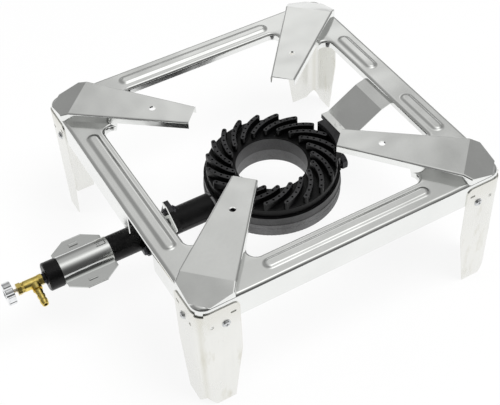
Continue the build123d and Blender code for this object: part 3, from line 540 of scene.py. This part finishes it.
# %% [markdown]
# Small pieces. Details could be cut into the solids, but those stay as they came. So
# each detail is an object of its own that sits on its solid. It is a bmesh, shaped by
# operators at the origin with its axis along Z, then put in place by a matrix. The
# function piece makes it an object that moves with its CAD body and takes its finish
# from one of the part's material slots. Equal points are joined and the faces turned
# outwards, and on a smooth piece an edge of more than 40 degrees stays crisp.

# %% from shape to piece
SHARP_FROM = math.radians(40)
SAME_POINT = 1e-7
UP, UNDER = (0, 0, 1), (0, 0, -1)
TO_BURNER, TO_KNOB = (1, 0, 0), (-1, 0, 0)     # the two ways along the gas line


def along(point, way):
    """A matrix that lays the Z axis along way and puts its start at point."""
    return Matrix.Translation(point) @ Vector(way).to_track_quat("Z", "Y").to_matrix().to_4x4()


def piece(name, body, slot, placed, smooth=True):
    """One object from several (bmesh, matrix) pairs."""
    mesh = bpy.data.meshes.new(name)
    whole = bmesh.new()
    for shape, place in placed:
        bmesh.ops.transform(shape, matrix=place, verts=shape.verts)
        shape.to_mesh(mesh)
        shape.free()
        whole.from_mesh(mesh)
    bmesh.ops.remove_doubles(whole, verts=whole.verts, dist=SAME_POINT)
    bmesh.ops.recalc_face_normals(whole, faces=whole.faces)
    whole.to_mesh(mesh)
    whole.free()
    mesh.polygons.foreach_set("use_smooth", [smooth] * len(mesh.polygons))
    if smooth:
        mesh.set_sharp_from_angle(angle=SHARP_FROM)
    made = bpy.data.objects.new(name, mesh)
    bpy.context.scene.collection.objects.link(made)
    mesh.materials.append(finishes[slot])
    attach(made, body)
    print(name, len(mesh.polygons), "faces on", body)


# %% [markdown]
# Three shapes to begin with. Almost every detail here is a ring, a rod or a block with
# round edges, as a lathe, a wire or a file would make it. A ring is its cross-section
# spun once round Z, and use_merge closes it. A rod is a cone with two radii. A block is
# a cube that is scaled first and bevelled last, so that all its edges are equally
# round. For other outlines, pull turns a flat face into a solid.

# %% basic shapes
EDGE_STEPS = 2


def loop_of(shape, points):
    """A closed loop of edges through points in the XZ plane, given as (radius, height)."""
    corners = [shape.verts.new((r, 0, z)) for r, z in points]
    edges = [shape.edges.new(pair) for pair in zip(corners, corners[1:] + corners[:1])]
    return corners + edges


def ring(points, steps):
    """A closed profile turned once round Z."""
    shape = bmesh.new()
    bmesh.ops.spin(shape, geom=loop_of(shape, points), cent=(0, 0, 0), axis=UP,
                   dvec=(0, 0, 0), angle=math.tau, steps=steps, use_merge=True)
    return shape


def rod(near, far, length, sides):
    """A round rod on the middle of the Z axis, with a radius for either end."""
    shape = bmesh.new()
    bmesh.ops.create_cone(shape, cap_ends=True, segments=sides, radius1=near, radius2=far,
                          depth=length)
    return shape


def round_edges(shape, edge):
    bmesh.ops.bevel(shape, geom=shape.edges[:], affect="EDGES", offset=edge,
                    segments=EDGE_STEPS, profile=0.5, material=-1)


def block(size, edge):
    """A box with rounded edges, centred on the origin."""
    shape = bmesh.new()
    bmesh.ops.create_cube(shape, size=1.0)
    bmesh.ops.scale(shape, vec=size, verts=shape.verts)
    round_edges(shape, edge)
    return shape


def pull(shape, faces, step):
    """Extrude the faces by one step, which makes a flat shape a solid one."""
    made = bmesh.ops.extrude_face_region(shape, geom=faces)["geom"]
    corners = [part for part in made if isinstance(part, bmesh.types.BMVert)]
    bmesh.ops.translate(shape, vec=step, verts=corners)


print("rings, rods and blocks can be made")

# %% [markdown]
# Threads. The CAD rods are plain cylinders. A real thread is a small triangle carried
# round the rod while it climbs by one pitch per turn. A bump could draw it, but the
# ends of the bolts stand free and show it in outline. The spin operator makes it when
# it is given a step along the axis as well as an angle.

# %% one thread
THREAD_STEPS = 16                         # steps of one turn
CREST, SINK, FOOT = 0.22, 0.08, 0.84      # height, depth and width, as shares of the pitch


def thread(radius, length, pitch):
    """A helical ridge round Z, standing on a rod of that radius."""
    shape = bmesh.new()
    low, high, foot = radius - SINK * pitch, radius + CREST * pitch, FOOT * pitch
    steps = max(THREAD_STEPS, int((length / pitch - 1) * THREAD_STEPS))
    bmesh.ops.spin(shape, geom=loop_of(shape, [(low, 0), (high, foot / 2), (low, foot)]),
                   cent=(0, 0, 0), axis=UP, dvec=(0, 0, pitch / THREAD_STEPS),
                   angle=math.tau * steps / THREAD_STEPS, steps=steps)
    bmesh.ops.holes_fill(shape, edges=shape.edges[:], sides=3)
    return shape


print("a thread has", THREAD_STEPS, "steps in each turn")

# %% [markdown]
# Threads on the bolts. A thread shows only between a nut's outer face and the end of
# its bolt, so that is all that is wound. A thread along the whole bolt would cost more
# faces and be hidden by the nut. Both ends are read from the boxes of nut and bolt.

# %% threads on the bolts
THREAD_SHORT = 0.1 * MM                             # a thread ends this far before its bolt
BIG_BOLT_R, BIG_PITCH, BIG_NUT = 3.0 * MM, 0.7 * MM, 10 * MM    # the nut across its flats
BOLT_R, PITCH, NUT = 2.5 * MM, 0.6 * MM, 8 * MM
BOLT_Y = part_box("flange_nuts")[1].y - BIG_NUT / 2   # the flange bolts stand either side
X, Z = 0, 2
LOW_END, HIGH_END = 0, 1


def thread_past(bolt, nut, axis, end, radius, pitch, y=None):
    """The thread between a nut's outer face and its bolt's end, on the axis X or Z."""
    start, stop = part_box(nut)[end][axis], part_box(bolt)[end][axis]
    point = middle(nut)
    if y is not None:
        point.y = y
    point[axis] = start
    way = Vector((0, 0, 0))
    way[axis] = 1 if end == HIGH_END else -1
    return thread(radius, abs(stop - start) - THREAD_SHORT, pitch), along(point, way)


piece("flange_threads", "stand", "dark_zinc",
      [thread_past("flange_bolts", "flange_nuts", X, HIGH_END, BIG_BOLT_R, BIG_PITCH, y)
       for y in (BOLT_Y, -BOLT_Y)])
piece("tab_thread", "stand", "dark_zinc",
      [thread_past("tab_bolt", "tab_nut", X, HIGH_END, BOLT_R, PITCH)])
piece("tongue_thread", "stand", "zinc",
      [thread_past("tongue_stud", "tongue_nut", Z, LOW_END, BOLT_R, PITCH)])

# %% [markdown]
# Thread of the spindle. It shows in the gap between the gland nut and the knob. As a
# part of the valve it would stand still, so it rides on the spindle and moves in and
# out with it. It starts at the knob's back and reaches a little into the nut, so that
# no gap opens.

# %% spindle thread
SPINDLE_R, SPINDLE_PITCH, INTO_GLAND = 2.1 * MM, 0.65 * MM, 1.0 * MM

gland_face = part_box("gland_nut")[0].x
knob_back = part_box("knob")[1].x
piece("spindle_thread", "spindle", "brass",
      [(thread(SPINDLE_R, gland_face - knob_back + INTO_GLAND, SPINDLE_PITCH),
        along((knob_back, 0, PIPE_Z), TO_BURNER))])

# %% [markdown]
# Collars of the nuts. These nuts are of the kind with a collar, which presses on a wide
# ring of metal, and the CAD nuts are plain hexagons. The collar is a ring with a
# sloping top. Its widths are shares of the nut's width, so that one function serves
# both sizes of nut.

# %% nut collars
COLLAR_IN, COLLAR_OUT, COLLAR_NECK = 0.47, 0.68, 1.12
COLLAR_RIM, COLLAR_HEIGHT = 0.7 * MM, 1.5 * MM
COLLAR_STEPS = 36


def collar(across_flats):
    """A collar for a nut of that width; it slopes up from its rim to the nut."""
    inner, outer = across_flats * COLLAR_IN, across_flats * COLLAR_OUT
    return ring([(inner, 0), (outer, 0), (outer, COLLAR_RIM),
                 (inner * COLLAR_NECK, COLLAR_HEIGHT), (inner, COLLAR_HEIGHT)], COLLAR_STEPS)


flange_face, tab_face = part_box("flange_nuts")[0].x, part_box("tab_nut")[0].x
tongue_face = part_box("tongue_nut")[1].z
tab_mid, tongue_mid = middle("tab_nut"), middle("tongue_nut")
piece("nut_collars", "stand", "dark_zinc",
      [(collar(BIG_NUT), along((flange_face, y, PIPE_Z), TO_BURNER)) for y in (BOLT_Y, -BOLT_Y)]
      + [(collar(NUT), along((tab_face, tab_mid.y, tab_mid.z), TO_BURNER))])
piece("tongue_collar", "stand", "zinc",
      [(collar(NUT), along((tongue_mid.x, tongue_mid.y, tongue_face), UNDER))])

# %% [markdown]
# Washers of the legs. Each leg is held by two screws with a washer each, one on either
# face. All eight are the same ring, so they could be instances of one mesh, but one
# object is simpler to ride: the ring is laid on the front of the stand and repeated by
# quarter turns about the middle.

# %% leg washers
SCREW_FROM_SIDE = 33 * MM                  # from the side of the square to the screw
SCREW_U = TOP_HALF - SCREW_FROM_SIDE
SCREW_Z = middle("leg_nuts").z
LEG_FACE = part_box("leg_rear")[1].x         # how far out the legs' faces stand
WASHER_IN, WASHER_OUT, WASHER_TOP, WASHER_SUNK = 3.7 * MM, 5.3 * MM, 0.6 * MM, 0.05 * MM
EDGE_IN, EDGE_DOWN = 0.2 * MM, 0.15 * MM   # its outer edge is broken by this much
WASHER_STEPS = 32

profile = [(WASHER_IN, -WASHER_SUNK), (WASHER_OUT, -WASHER_SUNK),
           (WASHER_OUT, WASHER_TOP - EDGE_DOWN), (WASHER_OUT - EDGE_IN, WASHER_TOP),
           (WASHER_IN, WASHER_TOP)]
washers = []
for quarter in range(4):
    for side in (1, -1):
        spin = Matrix.Rotation(quarter * math.pi / 2, 4, "Z")
        washers.append((ring(profile, WASHER_STEPS),
                        spin @ along((side * SCREW_U, -LEG_FACE, SCREW_Z), (0, -1, 0))))
piece("leg_washers", "stand", "zinc", washers, smooth=False)

# %% [markdown]
# Seams of the casting. Sand castings show where the two halves of the mould met: a fine
# flash runs round the ring and along both sides of the neck. A line in the bump would
# vanish in outline, so the flash is a thin ring of three sides, and the neck's seams
# are slim rods, half sunk into the wall.

# %% casting seams
CROWN_FOOT_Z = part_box("burner_crown")[0].z
FLASH_BELOW = 6 * MM                          # under the foot of the crown
FLASH_IN, FLASH_OUT = 85.9 * MM, 86.6 * MM    # just inside and outside the ring's wall
FLASH_LOW, FLASH_HIGH, FLASH_STEPS = -0.5 * MM, 0.4 * MM, 120

flash = ring([(FLASH_IN, FLASH_LOW), (FLASH_OUT, 0.0), (FLASH_IN, FLASH_HIGH)], FLASH_STEPS)
piece("ring_flash", "stand", "cast_grey",
      [(flash, along((BURNER_X, 0, CROWN_FOOT_Z - FLASH_BELOW), UP))])

NECK_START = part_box("burner_body")[0].x + 5.5 * MM    # just past the neck's flange
NECK_STOP = BURNER_X - 86.5 * MM                      # where it meets the ring
NECK_R = 16.5 * MM
SEAM_THICK, SEAM_THIN, SEAM_SIDES = 0.55 * MM, 0.45 * MM, 8

piece("neck_seams", "stand", "cast_grey",
      [(rod(SEAM_THICK, SEAM_THIN, NECK_STOP - NECK_START, SEAM_SIDES),
        along(((NECK_START + NECK_STOP) / 2, side * NECK_R, PIPE_Z), TO_BURNER))
       for side in (1, -1)])

# %% [markdown]
# The gate. Where the iron ran into the mould it leaves a stump, which the foundry
# grinds off. What is left is a low flat pad on the ring's wall. A boolean could fuse
# it with the ring, but a block with round edges that is sunk into the wall looks the
# same and leaves the solid alone.

# %% gate stub
STUB_TURN = math.radians(-118)
STUB_SIZE, STUB_EDGE = (2.4 * MM, 16 * MM, 9 * MM), 0.5 * MM
STUB_OUT, STUB_BELOW = 85.8 * MM, 10 * MM     # from the axis, and below the crown's foot

stub_way = Vector((math.cos(STUB_TURN), math.sin(STUB_TURN), 0))
stub_spot = Vector((BURNER_X, 0, CROWN_FOOT_Z - STUB_BELOW)) + stub_way * STUB_OUT
piece("gate_stub", "stand", "cast_grey",
      [(block(STUB_SIZE, STUB_EDGE),
        Matrix.Translation(stub_spot) @ Matrix.Rotation(STUB_TURN, 4, "Z"))], smooth=False)

# %% [markdown]
# Edges of the air shutter. Its long edges are rolled over so that they don't cut, and
# the clips that hold its halves together are round where they fold. The CAD model has
# thin plain edges there. A rod along each edge, as thick as the roll, gives it its
# round back, and it rides on the shutter, so it slides with it.

# %% shutter edges
shutter_low, shutter_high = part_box("shutter_upper")
shutter_mid = middle("shutter_upper")
HEM_R, HEM_SIDES, CORNER_CUT = 1.05 * MM, 12, 19 * MM     # the hem ends at the cut corners
CLIP_R, CLIP_SIDES, CLIP_LENGTH = 1.3 * MM, 16, 10.6 * MM
CLIP_OFF, CLIP_Y, CLIP_LIFT = 2.0 * MM, 31.5 * MM, 0.9 * MM

hem_length = shutter_high.x - shutter_low.x - 2 * CORNER_CUT
piece("shutter_hems", "shutter", "shutter_steel",
      [(rod(HEM_R, HEM_R, hem_length, HEM_SIDES),
        along((shutter_mid.x, side * shutter_high.y, shutter_low.z), TO_BURNER))
       for side in (1, -1)])
piece("clip_rolls", "shutter", "shutter_steel",
      [(rod(CLIP_R, CLIP_R, CLIP_LENGTH, CLIP_SIDES),
        along((shutter_mid.x - CLIP_OFF, side * CLIP_Y, PIPE_Z + CLIP_LIFT), TO_BURNER))
       for side in (1, -1)])

# %% [markdown]
# Dimple of the shutter. The spring tongue on its crest ends in a pressed dimple that
# rubs on the tube and holds the shutter where it is set. It could be pushed out of the
# sheet with a sculpted dent, but only its cap is seen, so it is a sphere, flattened and
# sunk until the cap stands out.

# %% shutter dimple
DIMPLE_R, DIMPLE_FLAT, DIMPLE_SUNK = 2.0 * MM, 0.45, 0.25 * MM
DIMPLE_FROM_END = 12 * MM

dimple = bmesh.new()
bmesh.ops.create_uvsphere(dimple, u_segments=20, v_segments=10, radius=DIMPLE_R)
bmesh.ops.scale(dimple, vec=(1, 1, DIMPLE_FLAT), verts=dimple.verts)
dimple_spot = (shutter_high.x - DIMPLE_FROM_END, 0, shutter_high.z - DIMPLE_SUNK)
piece("shutter_dimple", "shutter", "shutter_steel", [(dimple, Matrix.Translation(dimple_spot))])

# %% [markdown]
# Lock nut. A thin hexagon nut holds the jet holder against the end of the tube. A
# cylinder of six sides would do as well. Here it starts as a circle of six points,
# which is a hexagon, and is pulled up and given round edges, as any flat outline can
# be.

# %% lock nut
LOCK_R, LOCK_THICK, LOCK_EDGE = 8.0 * MM, 2.0 * MM, 0.25 * MM

tube_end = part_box("mixer_tube")[0].x
lock = bmesh.new()
bmesh.ops.create_circle(lock, cap_ends=True, segments=6, radius=LOCK_R)
pull(lock, lock.faces[:], (0, 0, LOCK_THICK))
round_edges(lock, LOCK_EDGE)
piece("jet_lock_nut", "stand", "dark_zinc", [(lock, along((tube_end, 0, PIPE_Z), TO_KNOB))],
      smooth=False)

# %% [markdown]
# Knurl of the gland. The gland nut has a skirt of fine ridges for the fingers. A bump
# would leave its outline round, and the ridges are coarse enough to be seen there. So a
# small square bar, stood on its edge, is repeated round the skirt.

# %% gland knurl
KNURLS, KNURL_R, KNURL_EDGE = 22, 5.7 * MM, 0.12 * MM
KNURL_SIZE = (2.6 * MM, 0.7 * MM, 0.7 * MM)
SKIRT_IN = 1.75 * MM        # from the gland's end to the middle of its skirt

skirt_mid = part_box("gland_nut")[1].x - SKIRT_IN
on_edge = Matrix.Translation((0, 0, KNURL_R)) @ Matrix.Rotation(math.pi / 4, 4, "X")
knurl = []
for k in range(KNURLS):
    around = Matrix.Rotation(math.tau * k / KNURLS, 4, "X")
    knurl.append((block(KNURL_SIZE, KNURL_EDGE),
                  Matrix.Translation((skirt_mid, 0, PIPE_Z)) @ around @ on_edge))
piece("gland_knurl", "stand", "brass", knurl, smooth=False)

# %% [markdown]
# Face of the knob. It carries a turned ring and a raised pointer that shows how far the
# valve is open. Both could be part of the CAD knob, but they are too fine for it, and
# here they ride on the knob, so the pointer goes round with it. Low rings with sloping
# sides like this one come again below, so they have a function.

# %% knob details
RIM_IN, RIM_OUT, RIM_SLOPE, RIM_STEPS = 8.3 * MM, 9.7 * MM, 0.4 * MM, 60
RIM_SUNK, RIM_TOP, RIM_BACK = 0.2 * MM, 0.45 * MM, 0.5 * MM
POINTER_SIZE, POINTER_EDGE = (3.4 * MM, 1.3 * MM, 0.9 * MM), 0.25 * MM
POINTER_OUT, POINTER_BACK = 7.0 * MM, 0.3 * MM


def low_ring(inner, outer, foot, top, slope_in, slope_out, steps):
    """A ring of four sides, from foot to top, whose sides lean in by the two slopes."""
    return ring([(inner, foot), (outer, foot), (outer - slope_out, top),
                 (inner + slope_in, top)], steps)


knob_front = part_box("knob")[0].x
rim = low_ring(RIM_IN, RIM_OUT, -RIM_SUNK, RIM_TOP, RIM_SLOPE, RIM_SLOPE, RIM_STEPS)
piece("knob_rim", "knob", "knob_chrome",
      [(rim, along((knob_front + RIM_BACK, 0, PIPE_Z), TO_KNOB))])
piece("knob_pointer", "knob", "knob_chrome",
      [(block(POINTER_SIZE, POINTER_EDGE),
        along((knob_front + POINTER_BACK, 0, PIPE_Z + POINTER_OUT), TO_KNOB))], smooth=False)

# %% [markdown]
# Round corners. Where an arm leaves the rails, the edge of the opening runs round in a
# small arc. The CAD top has a sharp corner there. A bevel can't mend it, because two
# different sheets meet, so each corner is a small sheet of its own: a lip, a bend, and
# a plate that ends behind the arm's side wall. First come the sizes of the pressing and
# the point where the rail's edge meets the arm's side, seen from above, with the arm
# along X.

# %% sizes of the corners
SHOULDER_Z = ARM_TOP_Z - 11.8 * MM                  # top of the rails
LIP_DROP, LIP_BEND = 10 * MM, 4 * MM                # the edge is turned down round this bend
WEB_R, WEB_SHEET = 11 * MM, 1.0 * MM                # radius of the arc, and its sheet
RAIL_WIDTH = 36 * MM
RAIL_REACH = (TOP_HALF - RAIL_WIDTH) * math.sqrt(2)     # the rails' edges meet here
TIP_R, TIP_HALF = 90.7 * MM, 15.5 * MM              # the arm's free end: how far out, how wide
CREASE_R, CREASE_HALF = TOP_HALF * math.sqrt(2) - 43.3 * MM, 32 * MM    # its widest place
GROW = (CREASE_HALF - TIP_HALF) / (CREASE_R - TIP_R)
OVER_RAIL, IN_ARM = 4.2 * MM, 1.05 * MM             # how far the sheet goes into the metal
LIFT = 0.02 * MM                                    # keeps two faces from lying in one plane


def crossing(past_rail, past_wall):
    """Where the rail's edge meets the arm's side, both moved into the metal."""
    rail = RAIL_REACH + past_rail * math.sqrt(2)
    wall = TIP_HALF - GROW * TIP_R - past_wall * math.hypot(1, GROW)
    x = (rail - wall) / (1 + GROW)
    return Vector((x, rail - x, 0))


meet, hidden = crossing(0, 0), crossing(OVER_RAIL, IN_ARM)
to_arm, to_rail = Vector((-1, -GROW, 0)).normalized(), Vector((-1, 1, 0)).normalized()
half_turn = to_arm.angle(to_rail) / 2
centre = meet + (to_arm + to_rail).normalized() * (WEB_R / math.sin(half_turn))
web_reach = WEB_R / math.tan(half_turn)
hidden_turn = math.atan2(hidden.y - centre.y, hidden.x - centre.x)
print("each arc starts", round(web_reach / MM, 2), "mm from the sharp corner")

# %% [markdown]
# The sheet of a corner. It is laid out on rays from the centre of the arc. Each ray is
# one row of points: down the lip, round the bend in a quarter circle, and out to the
# edge that is hidden in the metal. A flat plate could be cut and bent instead, but the
# bend follows an arc, and rays give even faces there. Faces join the rows, and
# solidify gives the sheet its thickness.

# %% corner sheet
WEB_STEPS, BEND_STEPS = 12, 6
BEND_SHARE = 0.95      # on a short ray the bend takes at most this share


def ray_length(turn, ray):
    """From the centre to the hidden edge: over the rail first, then in the arm."""
    if turn > hidden_turn:
        return (hidden.x + hidden.y - centre.x - centre.y) / (ray.x + ray.y)
    return (hidden.y - GROW * hidden.x - centre.y + GROW * centre.x) / (ray.y - GROW * ray.x)


def height_at(out):
    """Height of the sheet this far out from the arc: a quarter circle, then flat."""
    short = LIP_BEND - min(out, LIP_BEND)
    return SHOULDER_Z + LIFT - LIP_BEND + math.sqrt(LIP_BEND ** 2 - short ** 2)


def web():
    """One round corner beside an arm that points along X."""
    shape = bmesh.new()
    first, last = math.pi / 4, math.atan2(-1, GROW)
    turns = [first + (hidden_turn - first) * k / WEB_STEPS for k in range(WEB_STEPS)]
    turns += [hidden_turn + (last - hidden_turn) * k / WEB_STEPS for k in range(WEB_STEPS + 1)]
    rows = []
    for turn in turns:
        ray = Vector((math.cos(turn), math.sin(turn), 0))
        end = ray_length(turn, ray) - WEB_R
        bend = min(LIP_BEND, end * BEND_SHARE)
        outs = [bend * (1 - math.cos(math.pi / 2 * k / BEND_STEPS)) for k in range(BEND_STEPS + 1)]
        places = [(0.0, SHOULDER_Z - LIP_DROP)] + [(out, height_at(out)) for out in outs + [end]]
        rows.append([shape.verts.new(centre + ray * (WEB_R + out) + Vector((0, 0, height)))
                     for out, height in places])
    for row, after in zip(rows, rows[1:]):
        for k in range(len(row) - 1):
            shape.faces.new((row[k], after[k], after[k + 1], row[k + 1]))
    bmesh.ops.recalc_face_normals(shape, faces=shape.faces)
    bmesh.ops.solidify(shape, geom=shape.faces[:], thickness=WEB_SHEET)
    return shape


print("a corner has", 2 * WEB_STEPS + 1, "rays")

# %% [markdown]
# The foot of the arm's wall. Beside the arc the arm's side wall reaches down to the
# lip. It is a flat outline with a slanted end, pulled inwards by the sheet's thickness.
# Each of the four arms has a corner on both sides. The second is a mirror image, which
# a scale of -1 gives. That turns the faces inside out, and piece turns them back.

# %% corner webs
WALL_END_Z, WALL_SLANT = SHOULDER_Z + 2.5 * MM, 2.5 * MM


def wall_foot():
    """The arm's side wall, carried down to the lip, with a slanted end."""
    shape = bmesh.new()
    outline = [(0, SHOULDER_Z - LIP_DROP), (web_reach, SHOULDER_Z - LIP_DROP),
               (web_reach + WALL_SLANT, WALL_END_Z), (0, WALL_END_Z)]
    inward = Vector((GROW, -1, 0)).normalized()
    start = meet + inward * LIFT
    face = shape.faces.new([shape.verts.new(start + to_arm * far + Vector((0, 0, z)))
                            for far, z in outline])
    pull(shape, [face], inward * WEB_SHEET)
    return shape


corners = []
for quarter in range(4):
    for side in (1, -1):
        place = (Matrix.Rotation(math.pi / 4 + quarter * math.pi / 2, 4, "Z")
                 @ Matrix.Scale(side, 4, (0, 1, 0)))
        corners += [(web(), place), (wall_foot(), place)]
piece("corner_webs", "stand", "top_steel", corners)

# %% [markdown]
# Holes and weld. Each hole in the pot arms is drawn downwards into a small collar, as
# a punch leaves it, and the stud under the tongue leaves the mark of its weld on the
# upper side. A bump could shade both, but they catch the light at a low angle, so both
# are low rings, one hanging from the sheet and one lying on it.

# %% holes and weld mark
HOLE_AT, HOLE_R_IN, HOLE_WALL = 100 * MM, 4.0 * MM, 0.9 * MM
DRAWN_DOWN, DRAWN_SLOPE = 1.0 * MM, 0.3 * MM
WELD_IN, WELD_OUT, WELD_SUNK, WELD_TOP = 2.6 * MM, 4.2 * MM, 0.1 * MM, 0.22 * MM
WELD_SLOPES = 0.4 * MM, 0.5 * MM
SMALL_STEPS = 40

piece("hole_collars", "stand", "top_steel",
      [(low_ring(HOLE_R_IN, HOLE_R_IN + HOLE_WALL, 0.0, -DRAWN_DOWN, 0.0, DRAWN_SLOPE, SMALL_STEPS),
        Matrix.Translation((x * HOLE_AT, y * HOLE_AT, ARM_TOP_Z - SHEET)))
       for x in (1, -1) for y in (1, -1)])

tongue_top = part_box("tongue_stud")[1].z + SHEET
weld = low_ring(WELD_IN, WELD_OUT, -WELD_SUNK, WELD_TOP, *WELD_SLOPES, SMALL_STEPS)
piece("stud_weld", "stand", "top_steel",
      [(weld, Matrix.Translation((tongue_mid.x, tongue_mid.y, tongue_top)))])
